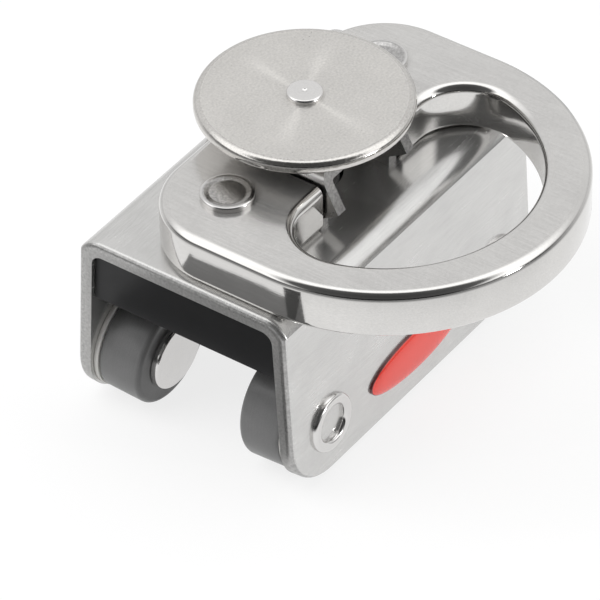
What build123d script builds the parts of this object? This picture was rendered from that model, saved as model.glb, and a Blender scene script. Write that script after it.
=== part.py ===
# Spring-plunger track car with a flat eye on its roof and four rollers inside its legs.
# Millimetres. X runs the way the car travels, -Y is the side with the eye and the badge, +Z is up.
# The origin lies on the plunger's axis, in the running face that the car slides on.
import os
from math import cos, radians, sin, tan

from build123d import *

os.makedirs("parts", exist_ok=True)

# Folded body
channel_length = 67.2
channel_width = 39.5
sheet = 2.5
outer_bend = 4.4
inner_bend = 2.0
side_grind = 0.4
leg_splay = 3.1
leg_reach = 32.4
leg_corner_radius = 10.0
sheet_edge_radius = 0.8

# Slide block under the roof
block_height = 10.3
block_end_gap = 0.8
block_side_gap = 0.15
block_lead = 1.0
ledge_thickness = 1.3

# Eye plate on the roof
plate_thickness = 8.7
ring_outer_radius = 32.5
ring_inner_radius = 25.0
ring_offset = 15.2
ear_reach = 11.3
ear_corner_radius = 13.3
eye_chord = 11.1
eye_corner_radius = 8.6
notch_width = 22.0
plate_edge_radius = 1.5

# Rivets that hold the eye plate and the slide block to the roof
plate_rivet_inset = 11.7
plate_rivet_radius = 2.5
plate_rivet_head_radius = 4.4
plate_rivet_head_height = 1.0
plate_rivet_head_round = 0.25
plate_rivet_dish_radius = 3.4
plate_rivet_dish_depth = 0.35
plate_rivet_tail_radius = 4.4
plate_rivet_tail_height = 1.9
plate_rivet_tail_recess = 0.5
rivet_clearance = 0.05

# Plunger bracket, an inverted U that stands in the notch
bracket_sheet = 2.0
bracket_clearance = 0.6
bracket_height = 10.8
bracket_outer_bend = 2.6
bracket_inner_bend = 0.6
bracket_top_half = 10.0
bracket_wing_half = 13.6
bracket_wing_rise = 3.9
bracket_foot_half = 10.2
bracket_foot_rise = 1.8

# Plunger, its collar, clip and spring
pin_radius = 4.0
nose_radius = 3.8
nose_start = 0.5
pin_reach = 6.5
pin_nose_chamfer = 1.0
pin_clearance = 0.08
neck_radius = 2.5
clip_seat_gap = 0.1
clip_thickness = 0.8
clip_outer_radius = 6.3
clip_opening = 60.0
groove_depth = 0.8
groove_side_gap = 0.05
collar_radius = 7.0
collar_thickness = 1.3
collar_bore_gap = 0.05
collar_pocket_gap = 0.3
spring_wire = 1.0
spring_pin_gap = 0.4
spring_turns = 6.5
spring_roof_gap = 0.6

# Knob disc on top of the plunger
disc_radius = 17.6
disc_thickness = 2.2
disc_gap = 2.3
disc_top_round = 1.1
disc_under_round = 0.7
disc_neck_gap = 0.02
peen_radius = 2.95
peen_height = 0.8
peen_edge = 0.2

# Rollers inside the legs, on rivets through them
axle_end_inset = 10.1
axle_drop = 23.0
axle_radius = 4.0
axle_hole_gap = 0.05
axle_head_radius = 5.1
axle_head_height = 0.9
axle_head_outer_round = 0.45
axle_head_inner_round = 0.35
axle_recess_radius = 3.1
axle_recess_depth = 1.4
axle_tail_radius = 6.0
axle_tail_height = 1.2
roller_radius = 9.2
roller_width = 7.8
roller_bore_gap = 0.06
roller_end_gap = 0.15
roller_inner_edge = 0.9
roller_outer_edge = 0.4
washer_radius = 9.35
washer_thickness = 0.8
washer_bore_gap = 0.15

# Domed badge on the near leg
badge_half_length = 12.7
badge_half_height = 3.75
badge_drop = 24.4
badge_thickness = 0.9
badge_edge_radius = 0.6

# Levels that follow from the sizes above
roof_under = block_height
roof_top = roof_under + sheet
leg_bottom = roof_under - leg_reach
plate_top = roof_top + plate_thickness
plate_rivet_head_top = plate_top + plate_rivet_head_height
plate_rivet_positions = [plate_rivet_inset - ring_outer_radius, ring_outer_radius - plate_rivet_inset]
bracket_half = notch_width / 2 - bracket_clearance
bracket_top = roof_top + bracket_height
bracket_under = bracket_top - bracket_sheet
disc_under = bracket_top + disc_gap
disc_top = disc_under + disc_thickness
clip_under = ledge_thickness + clip_seat_gap
collar_under = clip_under + clip_thickness
collar_top = collar_under + collar_thickness
spring_radius = pin_radius + spring_pin_gap + spring_wire / 2
spring_length = bracket_under - collar_top
spring_hole_radius = spring_radius + spring_wire / 2 + spring_roof_gap
axle_reach = channel_length / 2 - axle_end_inset
roller_outer_end = -(sheet + washer_thickness + roller_end_gap)
roller_inner_end = roller_outer_end - roller_width
axle_tail_end = roller_inner_end - roller_end_gap - axle_tail_height


def leg_face(height, inset=0.0):
    """Half width of the splayed body at a height, measured to the outer face less an inset."""
    outer = channel_width / 2 + (roof_under - height) * tan(radians(leg_splay))
    return outer - inset / cos(radians(leg_splay))


def body_outline(top, bottom, inset):
    """Corners, in the Y-Z plane, of a trapezium that keeps to the splayed legs."""
    return [
        (-leg_face(bottom, inset), bottom),
        (-leg_face(top, inset), top),
        (leg_face(top, inset), top),
        (leg_face(bottom, inset), bottom),
    ]


def leg_plane(side, along, drop):
    """Plane on a leg's outer face, a drop below the roof's underside: local Z points outwards."""
    height = roof_under - drop
    outwards = (0, side * cos(radians(leg_splay)), sin(radians(leg_splay)))
    return Plane(origin=(along, side * leg_face(height), height), x_dir=(1, 0, 0), z_dir=outwards)


def turning_plane(base):
    """Plane through the axis of a turned piece: local X is the radius, local Y runs along the axis."""
    return Plane(origin=base.origin, x_dir=base.x_dir, z_dir=-base.y_dir)


def finish(piece, name):
    """Name a finished piece and write its file."""
    piece.part.label = name
    export_step(piece.part, f"parts/{name}.step")


axles = {
    "front_near": leg_plane(-1, -axle_reach, axle_drop),
    "front_far": leg_plane(1, -axle_reach, axle_drop),
    "rear_near": leg_plane(-1, axle_reach, axle_drop),
    "rear_far": leg_plane(1, axle_reach, axle_drop),
}

# Channel body: one sheet folded to an inverted U, its sides ground flat, its outer edges tumbled round
with BuildPart() as channel_body:
    with BuildSketch(Plane.YZ.offset(-channel_length / 2)) as outer_section:
        Polygon(*body_outline(roof_top, leg_bottom, -side_grind), align=None)
        fillet(outer_section.vertices().group_by(Axis.Y)[-1], outer_bend)
        Polygon(*body_outline(roof_top + outer_bend, leg_bottom, 0), align=None, mode=Mode.INTERSECT)
    extrude(amount=channel_length)
    with BuildSketch(Plane.XZ) as side_profile:
        with Locations((0, leg_bottom)):
            Rectangle(channel_length, roof_top - leg_bottom, align=(Align.CENTER, Align.MIN))
        fillet(side_profile.vertices().group_by(Axis.Y)[0], leg_corner_radius)
    extrude(amount=channel_width, both=True, mode=Mode.INTERSECT)
    all_edges = channel_body.edges()
    bend_lines = all_edges.filter_by(Axis.X).filter_by_position(Axis.Z, 0, roof_top)
    underside_lines = all_edges.filter_by(Axis.Y).filter_by_position(Axis.Z, leg_bottom, 0)
    fillet(all_edges - bend_lines - underside_lines, sheet_edge_radius)
    with BuildSketch(Plane.YZ.offset(-channel_length / 2)) as inner_section:
        Polygon(*body_outline(roof_under, leg_bottom - sheet, sheet), align=None)
        fillet(inner_section.vertices().group_by(Axis.Y)[-1], inner_bend)
    extrude(amount=channel_length, mode=Mode.SUBTRACT)
    with Locations((0, 0, roof_top)):
        Hole(spring_hole_radius, depth=sheet)
    with Locations(*[(x, 0, roof_top) for x in plate_rivet_positions]):
        Hole(plate_rivet_radius + rivet_clearance, depth=sheet)
    for axle in axles.values():
        with Locations(axle.location):
            Hole(axle_radius + axle_hole_gap, depth=2 * sheet)
finish(channel_body, "channel_body")

# Eye plate: thick plate with a D-shaped eye, its edges rolled round, then slotted for the bracket
with BuildPart() as ring_plate:
    with BuildSketch(Plane.XY.offset(roof_top)) as plate_outline:
        with Locations((0, -ring_offset)):
            Circle(ring_outer_radius)
            Rectangle(
                2 * ring_outer_radius,
                ring_outer_radius,
                align=(Align.CENTER, Align.MIN),
                mode=Mode.SUBTRACT,
            )
            Rectangle(2 * ring_outer_radius, ring_offset + ear_reach, align=(Align.CENTER, Align.MIN))
        fillet(plate_outline.vertices().group_by(Axis.Y)[-1], ear_corner_radius)
        with BuildSketch(mode=Mode.PRIVATE) as eye:
            with Locations((0, -ring_offset)):
                Circle(ring_inner_radius)
            with Locations((0, -eye_chord)):
                Rectangle(
                    3 * ring_inner_radius,
                    3 * ring_inner_radius,
                    align=(Align.CENTER, Align.MAX),
                    mode=Mode.INTERSECT,
                )
            fillet(eye.vertices(), eye_corner_radius)
        add(eye.sketch, mode=Mode.SUBTRACT)
    extrude(amount=plate_thickness)
    fillet(ring_plate.faces().filter_by(Axis.Z).edges(), plate_edge_radius)
    with BuildSketch(Plane.XY.offset(roof_top)):
        with Locations((0, -eye_chord - 1)):
            Rectangle(notch_width, eye_chord + ear_reach + 2, align=(Align.CENTER, Align.MIN))
    extrude(amount=plate_thickness, mode=Mode.SUBTRACT)
    with Locations(*[(x, 0, plate_top) for x in plate_rivet_positions]):
        Hole(plate_rivet_radius + rivet_clearance, depth=plate_thickness)
finish(ring_plate, "ring_plate")

# Slide block: moulded liner under the roof, with the running face on its underside
with BuildPart() as slide_block:
    with BuildSketch(Plane.YZ.offset(-channel_length / 2 + block_end_gap)) as block_section:
        Polygon(*body_outline(roof_under, 0, sheet + block_side_gap), align=None)
        fillet(block_section.vertices().group_by(Axis.Y)[-1], inner_bend + 2 * block_side_gap)
    extrude(amount=channel_length - 2 * block_end_gap)
    chamfer(slide_block.faces().sort_by(Axis.Z)[0].edges().filter_by(Axis.Y), block_lead)
    with Locations((0, 0, roof_under)):
        Hole(collar_radius + collar_pocket_gap, depth=roof_under - ledge_thickness)
        Hole(pin_radius + pin_clearance, depth=roof_under)
    for x in plate_rivet_positions:
        rivet_base = Plane(origin=(x, 0, 0))
        with BuildSketch(turning_plane(rivet_base)):
            Polygon(
                (0, -1),
                (plate_rivet_tail_radius + rivet_clearance, -1),
                (plate_rivet_tail_radius + rivet_clearance, plate_rivet_tail_recess),
                (plate_rivet_radius + rivet_clearance, plate_rivet_tail_recess + plate_rivet_tail_height),
                (plate_rivet_radius + rivet_clearance, roof_under),
                (0, roof_under),
                align=None,
            )
        revolve(axis=Axis(rivet_base.origin, rivet_base.z_dir), mode=Mode.SUBTRACT)
finish(slide_block, "slide_block")

# Eye-plate rivets: dished heads above, countersunk tails held clear of the running face
for name, x in zip(("ring_rivet_front", "ring_rivet_rear"), plate_rivet_positions):
    rivet_base = Plane(origin=(x, 0, 0))
    with BuildPart() as ring_rivet:
        with BuildSketch(turning_plane(rivet_base)):
            with BuildLine():
                Polyline(
                    (0, plate_rivet_tail_recess),
                    (plate_rivet_tail_radius, plate_rivet_tail_recess),
                    (plate_rivet_radius, plate_rivet_tail_recess + plate_rivet_tail_height),
                    (plate_rivet_radius, plate_top),
                    (plate_rivet_head_radius, plate_top),
                    (plate_rivet_head_radius, plate_rivet_head_top - plate_rivet_head_round),
                )
                RadiusArc(
                    (plate_rivet_head_radius, plate_rivet_head_top - plate_rivet_head_round),
                    (plate_rivet_head_radius - plate_rivet_head_round, plate_rivet_head_top),
                    -plate_rivet_head_round,
                )
                Line(
                    (plate_rivet_head_radius - plate_rivet_head_round, plate_rivet_head_top),
                    (plate_rivet_dish_radius, plate_rivet_head_top),
                )
                Spline(
                    (plate_rivet_dish_radius, plate_rivet_head_top),
                    (0, plate_rivet_head_top - plate_rivet_dish_depth),
                    tangents=((-1, 0), (-1, 0)),
                )
                Line((0, plate_rivet_head_top - plate_rivet_dish_depth), (0, plate_rivet_tail_recess))
            make_face()
        revolve(axis=Axis(rivet_base.origin, rivet_base.z_dir))
    finish(ring_rivet, name)

# Plunger bracket: a strap folded to an inverted U, whose legs spread to wings above narrower feet
with BuildPart() as plunger_bracket:
    with BuildSketch(Plane.XZ) as strap:
        with Locations((0, roof_top)):
            Rectangle(2 * bracket_half, bracket_height, align=(Align.CENTER, Align.MIN))
        fillet(strap.vertices().group_by(Axis.Y)[-1], bracket_outer_bend)
        with BuildSketch(mode=Mode.PRIVATE) as strap_inside:
            with Locations((0, roof_top)):
                Rectangle(
                    2 * (bracket_half - bracket_sheet),
                    bracket_height - bracket_sheet,
                    align=(Align.CENTER, Align.MIN),
                )
            fillet(strap_inside.vertices().group_by(Axis.Y)[-1], bracket_inner_bend)
        add(strap_inside.sketch, mode=Mode.SUBTRACT)
    extrude(amount=bracket_wing_half, both=True)
    with BuildSketch(Plane.YZ):
        Polygon(
            (-bracket_foot_half, roof_top),
            (-bracket_foot_half, roof_top + bracket_foot_rise),
            (-bracket_wing_half, roof_top + bracket_wing_rise),
            (-bracket_top_half, bracket_top),
            (bracket_top_half, bracket_top),
            (bracket_wing_half, roof_top + bracket_wing_rise),
            (bracket_foot_half, roof_top + bracket_foot_rise),
            (bracket_foot_half, roof_top),
            align=None,
        )
    extrude(amount=bracket_half, both=True, mode=Mode.INTERSECT)
    with Locations((0, 0, bracket_top)):
        Hole(pin_radius + pin_clearance, depth=bracket_sheet)
finish(plunger_bracket, "plunger_bracket")

# Plunger: one turned pin with a clip groove, a shoulder under the disc and a peened end
with BuildPart() as plunger_pin:
    groove_radius = pin_radius - groove_depth
    with BuildSketch(Plane.XZ):
        with BuildLine():
            Polyline(
                (0, -pin_reach),
                (nose_radius - pin_nose_chamfer, -pin_reach),
                (nose_radius, pin_nose_chamfer - pin_reach),
                (nose_radius, -nose_start),
                (pin_radius, -nose_start),
                (pin_radius, clip_under - groove_side_gap),
                (groove_radius, clip_under - groove_side_gap),
                (groove_radius, collar_under),
                (pin_radius, collar_under),
                (pin_radius, disc_under),
                (neck_radius, disc_under),
                (neck_radius, disc_top),
                (peen_radius, disc_top),
                (peen_radius, disc_top + peen_height - peen_edge),
                (peen_radius - peen_edge, disc_top + peen_height),
                (0, disc_top + peen_height),
                (0, -pin_reach),
            )
        make_face()
    revolve(axis=Axis.Z)
finish(plunger_pin, "plunger_pin")

# Collar clip: a flat snap ring, open on one side, in the plunger's groove
with BuildPart() as collar_clip:
    with BuildSketch(Plane.XY.offset(clip_under)):
        Circle(clip_outer_radius)
        Circle(pin_radius - groove_depth + groove_side_gap, mode=Mode.SUBTRACT)
        Polygon(
            (0, 0),
            (2 * clip_outer_radius, 2 * clip_outer_radius * tan(radians(clip_opening / 2))),
            (2 * clip_outer_radius, -2 * clip_outer_radius * tan(radians(clip_opening / 2))),
            align=None,
            mode=Mode.SUBTRACT,
        )
    extrude(amount=clip_thickness)
finish(collar_clip, "collar_clip")

# Spring collar: the washer that rides on the clip and carries the spring
with BuildPart() as spring_collar:
    with BuildSketch(Plane.XY.offset(collar_under)):
        Circle(collar_radius)
        Circle(pin_radius + collar_bore_gap, mode=Mode.SUBTRACT)
    extrude(amount=collar_thickness)
    chamfer(spring_collar.edges().group_by(SortBy.LENGTH)[-1], collar_thickness / 6)
finish(spring_collar, "spring_collar")

# Plunger spring: round wire with both ends ground flat, between the collar and the bracket
with BuildPart() as plunger_spring:
    with BuildLine(Plane.XY.offset(collar_top)) as coil:
        Helix(pitch=spring_length / spring_turns, height=spring_length, radius=spring_radius)
    with BuildSketch(Plane(origin=coil.line @ 0, z_dir=coil.line % 0)):
        Circle(spring_wire / 2)
    sweep(path=coil.line, is_frenet=True)
    split(bisect_by=Plane.XY.offset(collar_top), keep=Keep.TOP)
    split(bisect_by=Plane.XY.offset(bracket_under), keep=Keep.BOTTOM)
finish(plunger_spring, "plunger_spring")

# Knob disc: turned plate that fingers lift from below
with BuildPart() as knob_disc:
    with BuildSketch(Plane.XY.offset(disc_under)):
        Circle(disc_radius)
        Circle(neck_radius + disc_neck_gap, mode=Mode.SUBTRACT)
    extrude(amount=disc_thickness)
    fillet(knob_disc.edges().group_by(SortBy.LENGTH)[-1].sort_by(Axis.Z)[-1], disc_top_round)
    fillet(knob_disc.edges().group_by(SortBy.LENGTH)[-1].sort_by(Axis.Z)[0], disc_under_round)
finish(knob_disc, "knob_disc")

# Axles, washers and rollers, the same at all four corners
for corner, axle in axles.items():
    section = turning_plane(axle)
    axle_line = Axis(axle.origin, axle.z_dir)

    with BuildPart() as axle_rivet:
        with BuildSketch(section) as rivet_section:
            Polygon(
                (0, axle_tail_end),
                (axle_tail_radius, axle_tail_end),
                (axle_tail_radius, axle_tail_end + axle_tail_height),
                (axle_radius, axle_tail_end + axle_tail_height),
                (axle_radius, 0),
                (axle_head_radius, 0),
                (axle_head_radius, axle_head_height),
                (axle_recess_radius, axle_head_height),
                (axle_recess_radius, axle_head_height - axle_recess_depth),
                (0, axle_head_height - axle_recess_depth),
                align=None,
            )
            fillet(rivet_section.vertices().group_by(Axis.Y)[-1].sort_by(Axis.X)[-1], axle_head_outer_round)
            fillet(rivet_section.vertices().group_by(Axis.Y)[-1].sort_by(Axis.X)[0], axle_head_inner_round)
        revolve(axis=axle_line)
    finish(axle_rivet, f"axle_rivet_{corner}")

    with BuildPart() as thrust_washer:
        with BuildSketch(section):
            Polygon(
                (axle_radius + washer_bore_gap, -sheet - washer_thickness),
                (washer_radius, -sheet - washer_thickness),
                (washer_radius, -sheet),
                (axle_radius + washer_bore_gap, -sheet),
                align=None,
            )
        revolve(axis=axle_line)
    finish(thrust_washer, f"thrust_washer_{corner}")

    with BuildPart() as roller:
        with BuildSketch(section):
            Polygon(
                (axle_radius + roller_bore_gap, roller_inner_end),
                (roller_radius, roller_inner_end),
                (roller_radius, roller_outer_end),
                (axle_radius + roller_bore_gap, roller_outer_end),
                align=None,
            )
        revolve(axis=axle_line)
        along_axle = Axis((0, 0, 0), axle.z_dir)
        rims = roller.edges().group_by(SortBy.LENGTH)[-1].sort_by(along_axle)
        fillet(rims[0], roller_inner_edge)
        fillet(roller.edges().group_by(SortBy.LENGTH)[-1].sort_by(along_axle)[-1], roller_outer_edge)
    finish(roller, f"roller_{corner}")

# Badge: a bare oval dome on the near leg below the eye
with BuildPart() as badge:
    with BuildSketch(leg_plane(-1, 0, badge_drop)):
        Ellipse(badge_half_length, badge_half_height)
    extrude(amount=badge_thickness)
    fillet(badge.faces().sort_by(Axis.Y)[0].edges(), badge_edge_radius)
finish(badge, "badge")
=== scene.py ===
import bmesh
import bpy
import numpy as np
from mathutils import Matrix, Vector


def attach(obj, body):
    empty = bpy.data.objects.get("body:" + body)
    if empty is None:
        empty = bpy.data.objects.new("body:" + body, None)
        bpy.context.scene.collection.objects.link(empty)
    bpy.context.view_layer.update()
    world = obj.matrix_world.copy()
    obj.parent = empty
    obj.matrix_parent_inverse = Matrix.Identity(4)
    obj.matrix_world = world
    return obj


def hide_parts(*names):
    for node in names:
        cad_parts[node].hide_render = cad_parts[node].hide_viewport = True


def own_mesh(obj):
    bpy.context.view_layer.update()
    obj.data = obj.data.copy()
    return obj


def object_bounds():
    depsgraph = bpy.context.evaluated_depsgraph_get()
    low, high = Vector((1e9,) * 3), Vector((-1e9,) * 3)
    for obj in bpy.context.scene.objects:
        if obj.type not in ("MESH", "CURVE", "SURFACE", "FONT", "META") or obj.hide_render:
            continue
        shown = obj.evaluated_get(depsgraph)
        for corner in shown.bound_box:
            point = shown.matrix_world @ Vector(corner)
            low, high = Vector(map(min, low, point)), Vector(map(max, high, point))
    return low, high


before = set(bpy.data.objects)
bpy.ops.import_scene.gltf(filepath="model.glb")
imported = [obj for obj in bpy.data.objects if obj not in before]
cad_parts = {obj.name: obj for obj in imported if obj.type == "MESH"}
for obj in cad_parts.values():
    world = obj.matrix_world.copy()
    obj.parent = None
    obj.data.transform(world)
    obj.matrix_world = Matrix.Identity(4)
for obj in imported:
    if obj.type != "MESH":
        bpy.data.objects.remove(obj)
cad_low, cad_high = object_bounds()

# Camera: a long lens looking down at the car from the front left, as the catalogue picture was taken.
# Its place and turn were worked out from the straight edges and circles of the car.
lens_length = 325.26
film_width = 36
camera_place = (-0.54208, -0.39082, 0.55242)
view_right = np.array((0.57845, -0.81565, -0.01136))
view_up = np.array((0.53255, 0.36706, 0.76272))
view_back = np.array((-0.61793, -0.44723, 0.64668))
camera_data = bpy.data.cameras.new("camera")
camera_data.lens = lens_length
camera_data.sensor_width = film_width
camera_data.clip_start = 0.01
camera_data.clip_end = 20
camera = bpy.data.objects.new("camera", camera_data)
bpy.context.scene.collection.objects.link(camera)
camera_turn = Matrix([list(row) for row in np.stack([view_right, view_up, view_back], axis=1)]).to_4x4()
camera.matrix_world = Matrix.Translation(camera_place) @ camera_turn
bpy.context.scene.camera = camera

# Studio floor: a pale sweep of paper that the camera sees as near white. In metal it is bright near the car
# and falls off outwards, more on the side that lies towards the camera.
bpy.context.scene.view_settings.view_transform = "Standard"
floor_level = cad_low.z
floor_half = 3
paper_tone = 0.93
paper_glow_share = 0.8
bright_within, dim_beyond = 0.07, 0.20
far_way = (0.81, 0.586, 0.0)
far_start, far_end = -0.1, 0.5
paper_dim = (0.10, 0.75)


def set_or_link(tree, value, target):
    """Gives an input a number, vector or colour, or joins it to another node's result."""
    if isinstance(value, bpy.types.NodeSocket):
        tree.links.new(value, target)
    else:
        target.default_value = value


def math_node(tree, kind, *values):
    """One arithmetic step in a node tree."""
    made = tree.nodes.new("ShaderNodeMath")
    made.operation = kind
    for place, value in enumerate(values):
        set_or_link(tree, value, made.inputs[place])
    return made.outputs[0]


def vector_node(tree, kind, *values, result="Vector"):
    """One step with vectors in a node tree; a dot product and a length have their result under Value."""
    made = tree.nodes.new("ShaderNodeVectorMath")
    made.operation = kind
    for place, value in enumerate(values):
        set_or_link(tree, value, made.inputs[place])
    return made.outputs[result]


def ranged(tree, value, from_low, from_high, to_low=0.0, to_high=1.0, smooth=False):
    """A value's place between two limits carried over to two others; smooth eases it at both."""
    made = tree.nodes.new("ShaderNodeMapRange")
    if smooth:
        made.interpolation_type = "SMOOTHSTEP"
    named = {"Value": value, "From Min": from_low, "From Max": from_high, "To Min": to_low, "To Max": to_high}
    for name, number in named.items():
        set_or_link(tree, number, made.inputs[name])
    return made.outputs["Result"]


paper_floor = bpy.data.materials.new("paper_floor")
paper_floor.use_nodes = True
paper = paper_floor.node_tree
paper_shader = paper.nodes["Principled BSDF"]
paper_shader.inputs["Base Color"].default_value = (paper_tone, paper_tone, paper_tone, 1)
paper_shader.inputs["Roughness"].default_value = 0.9
paper_shader.inputs["Specular IOR Level"].default_value = 0.1
paper_ray = paper.nodes.new("ShaderNodeLightPath")
paper_place = paper.nodes.new("ShaderNodeTexCoord").outputs["Object"]
paper_far = vector_node(
    paper, "DOT_PRODUCT", vector_node(paper, "NORMALIZE", paper_place), far_way, result="Value"
)
paper_fall = ranged(
    paper, vector_node(paper, "LENGTH", paper_place, result="Value"), bright_within, dim_beyond,
    1.0, ranged(paper, paper_far, far_start, far_end, *paper_dim), smooth=True,
)
paper_level = paper.nodes.new("ShaderNodeMix")
paper_level.data_type = "FLOAT"
level_in_metal, level_for_camera = paper_level.inputs[2], paper_level.inputs[3]
level_for_camera.default_value = 1.0
paper.links.new(paper_ray.outputs["Is Camera Ray"], paper_level.inputs["Factor"])
paper.links.new(paper_fall, level_in_metal)
paper_glow = paper.nodes.new("ShaderNodeEmission")
paper_glow.inputs["Color"].default_value = (1, 1, 1, 1)
paper.links.new(paper_level.outputs[0], paper_glow.inputs["Strength"])
paper_seen = math_node(
    paper, "MAXIMUM", paper_ray.outputs["Is Camera Ray"], paper_ray.outputs["Is Glossy Ray"]
)
paper_mix = paper.nodes.new("ShaderNodeMixShader")
paper.links.new(math_node(paper, "MULTIPLY", paper_seen, paper_glow_share), paper_mix.inputs[0])
paper.links.new(paper_shader.outputs[0], paper_mix.inputs[1])
paper.links.new(paper_glow.outputs[0], paper_mix.inputs[2])
paper.links.new(paper_mix.outputs[0], paper.nodes["Material Output"].inputs["Surface"])


def stage_sheet(name, corners, material):
    """A flat sheet through its corners, which stands in the studio and isn't part of the car."""
    mesh = bpy.data.meshes.new(name)
    mesh.from_pydata(corners, [], [tuple(range(len(corners)))])
    mesh.materials.append(material)
    made = bpy.data.objects.new(name, mesh)
    bpy.context.scene.collection.objects.link(made)
    return made


stage_sheet("floor", [
    (-floor_half, -floor_half, floor_level), (floor_half, -floor_half, floor_level),
    (floor_half, floor_half, floor_level), (-floor_half, floor_half, floor_level),
], paper_floor)

# Dark cards: matt grey sheets in front of the body and behind it, which only polished metal sees. They give
# the dark patches in the eye plate's wall. The shade card and the side card are darker still: painted shade.
card_level = -0.001
card_half = 0.016
card_start = 0.0345
card_rear_reach = 0.12
card_near_reach, card_far_reach = -0.0555, -0.051
shade_level = card_level + 0.0002
shade_start, shade_end, shade_corner = -0.062, -0.039, -0.0071
side_start = -0.060
side_foot = floor_level + 0.001
card_tone, shade_tone, side_tone = 0.15, 0.04, 0.03


def dark_card(name, corners, tone):
    """A flat card that shows in reflections only, never to the camera, and casts no shadow."""
    finish = bpy.data.materials.new(name)
    finish.use_nodes = True
    finish.node_tree.nodes["Principled BSDF"].inputs["Base Color"].default_value = (tone, tone, tone, 1)
    card = stage_sheet(name, corners, finish)
    card.visible_camera = False
    card.visible_shadow = False
    card.visible_diffuse = False
    card.visible_transmission = False


for card_name, card_end, near_reach, far_reach in (
    ("card_front", -card_start, card_near_reach, card_far_reach),
    ("card_rear", card_start, card_rear_reach, card_rear_reach),
):
    dark_card(card_name, [
        (near_reach, -card_half, card_level), (card_end, -card_half, card_level),
        (card_end, card_half, card_level), (far_reach, card_half, card_level),
    ], card_tone)
# The shade card and the side card are painted shade, a shadowed edge and side seen in the metal.
dark_card("card_shade", [
    (shade_start, -card_half, shade_level), (shade_end, -card_half, shade_level),
    (shade_start, shade_corner, shade_level),
], shade_tone)
dark_card("card_side", [
    (side_start, -card_half, side_foot), (-card_start, -card_half, side_foot),
    (-card_start, -card_half, card_level), (side_start, -card_half, card_level),
], side_tone)

# Tent: white cloth all round, which metal reflects. It is dark behind the camera and near the horizon, and
# that draws the dark lines along polished edges. One large soft lamp and a small one for a glint stand in it.
tent_tones = [(0.0, 0.95), (0.50, 0.92), (0.58, 1.25), (0.66, 1.7), (0.80, 1.7), (0.868, 0.14), (1.0, 0.07)]
horizon_low, horizon_high = 0.10, 0.32
tent_dim = (0.08, 0.75)
tent_bright = 0.9
world = bpy.data.worlds.new("tent")
bpy.context.scene.world = world
world.use_nodes = True
tent = world.node_tree
tent_way = tent.nodes.new("ShaderNodeTexCoord").outputs["Generated"]
tent_ramp = tent.nodes.new("ShaderNodeValToRGB")
to_camera = vector_node(tent, "DOT_PRODUCT", tent_way, tuple(view_back), result="Value")
tent.links.new(ranged(tent, to_camera, -1, 1), tent_ramp.inputs["Fac"])
ramp_stops = tent_ramp.color_ramp.elements
for stop, (place, level) in zip((ramp_stops[0], ramp_stops[1]), (tent_tones[0], tent_tones[-1])):
    stop.position = place
    stop.color = (level, level, level, 1)
for place, level in tent_tones[1:-1]:
    ramp_stops.new(place).color = (level, level, level, 1)
tent_axes = tent.nodes.new("ShaderNodeSeparateXYZ")
tent.links.new(tent_way, tent_axes.inputs[0])
tent_far = vector_node(tent, "DOT_PRODUCT", tent_way, far_way, result="Value")
tent_edge = ranged(
    tent, tent_axes.outputs["Z"], horizon_low, horizon_high,
    ranged(tent, tent_far, far_start, far_end, *tent_dim), tent_bright, smooth=True,
)
tent_light = tent.nodes["Background"]
tent.links.new(tent_ramp.outputs["Color"], tent_light.inputs["Color"])
tent.links.new(tent_edge, tent_light.inputs["Strength"])
tent_seen = tent.nodes.new("ShaderNodeBackground")
tent_seen.inputs["Color"].default_value = (1, 1, 1, 1)
tent_mix = tent.nodes.new("ShaderNodeMixShader")
tent.links.new(tent.nodes.new("ShaderNodeLightPath").outputs["Is Camera Ray"], tent_mix.inputs[0])
tent.links.new(tent_light.outputs[0], tent_mix.inputs[1])
tent.links.new(tent_seen.outputs[0], tent_mix.inputs[2])
tent.links.new(tent_mix.outputs[0], tent.nodes["World Output"].inputs["Surface"])


def lamp_at(name, power, size, place):
    """A square lamp of a power in watts that points at the car."""
    data = bpy.data.lights.new(name, "AREA")
    data.energy = power
    data.size = size
    made = bpy.data.objects.new(name, data)
    bpy.context.scene.collection.objects.link(made)
    made.location = place
    made.rotation_euler = (-made.location.normalized()).to_track_quat("-Z", "Y").to_euler()
    return made


soft_lamp = lamp_at("soft_lamp", power=4, size=0.6, place=(-0.35, 0.30, 0.75))
soft_lamp.visible_glossy = False
lamp_at("glint_lamp", power=0.25, size=0.035, place=(0.0525, -0.3525, 0.0385))


# Folded body: one stainless sheet bent to an inverted U, its sides ground flat and the whole piece tumbled,
# so every outer edge is soft. The sheared edges keep a smooth band outside and a torn, darker band inside. The
# smooth band is darkened in colour as well: painted shade.
MM = 0.001
sheet = 2.5
roof_under = 10.3
roof_top = roof_under + sheet
leg_bottom = -22.1
half_length = 33.6
half_width = 19.75
lean = np.radians(3.1)
bend_outside = 4.4
bend_inside = 2.0
grind = 0.4
leg_corner = 10.0
sheet_round = 0.8
smooth_band = 1.2
torn_start = 1.35
burr = 0.06


def leg_at(height, inset=0.0):
    """Half the body's width at a height: the legs lean out evenly from the roof down."""
    return half_width + (roof_under - height) * np.tan(lean) - inset / np.cos(lean)


def arc(centre, radius, start, end, count):
    """Points on a circle from one angle to another, in degrees."""
    angle = np.radians(np.linspace(start, end, count))
    return np.stack([centre[0] + radius * np.cos(angle), centre[1] + radius * np.sin(angle)], axis=1)


def grid_faces(rows, columns, closed=False, start=0):
    """Quads that join a grid of points, row by row; closed joins the last column to the first."""
    r = np.arange(rows - 1)[:, None] * columns
    c = np.arange(columns if closed else columns - 1)[None, :]
    n = (c + 1) % columns
    quads = np.stack([r + c, r + n, r + columns + n, r + columns + c], axis=-1)
    return (quads.reshape(-1, 4) + start).tolist()


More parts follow.
